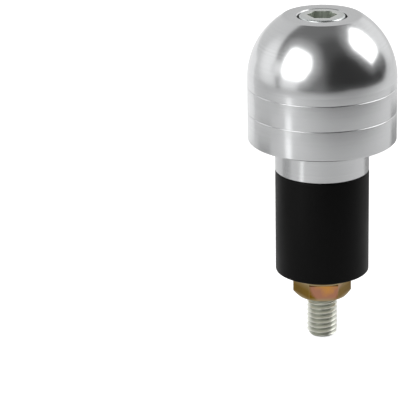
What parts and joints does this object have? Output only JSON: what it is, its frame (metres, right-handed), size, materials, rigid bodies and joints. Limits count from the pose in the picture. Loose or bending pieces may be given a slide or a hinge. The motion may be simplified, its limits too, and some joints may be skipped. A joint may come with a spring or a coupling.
{
  "type": "bar end weight",
  "caption": "Domed handlebar end weight with a recessed socket screw that draws a nut and washer against a rubber bush, so the bush swells and grips the bar's bore.",
  "frame": {"origin": "centre of the shoulder face that butts on the end of the bar, on the screw's axis", "axes": "+Z along the bar's axis, out of the bar towards the dome; +X along a corner of the screw's hexagon socket"},
  "size_m": [0.029, 0.029, 0.066],
  "materials": {
    "turned_aluminium": "fine turned, satin, clear anodised",
    "bright_zinc_steel": "bright zinc plate",
    "black_rubber": "smooth moulded",
    "yellow_zinc_steel": "zinc plate with yellow passivation"
  },
  "bodies": {
    "weight": {"end_weight": "turned_aluminium", "expander_bush": "black_rubber"},
    "screw": {"socket_screw": "bright_zinc_steel"},
    "nut": {"load_washer": "yellow_zinc_steel", "draw_nut": "yellow_zinc_steel"}
  },
  "joints": [
    {"name": "screw_turn", "type": "hinge", "parent": "weight", "child": "screw", "pos_m": [0, 0, 0], "axis": [0, 0, -1], "range_deg": [0, 1080]},
    {"name": "nut_draw", "type": "slide", "parent": "weight", "child": "nut", "axis": [0, 0, 1], "range_m": [0, 0.003], "deforming": ["expander_bush"]}
  ],
  "couplings": [
    {"joint": "nut_draw", "follows": "screw_turn", "m_per_rad": 0.00015915}
  ]
}
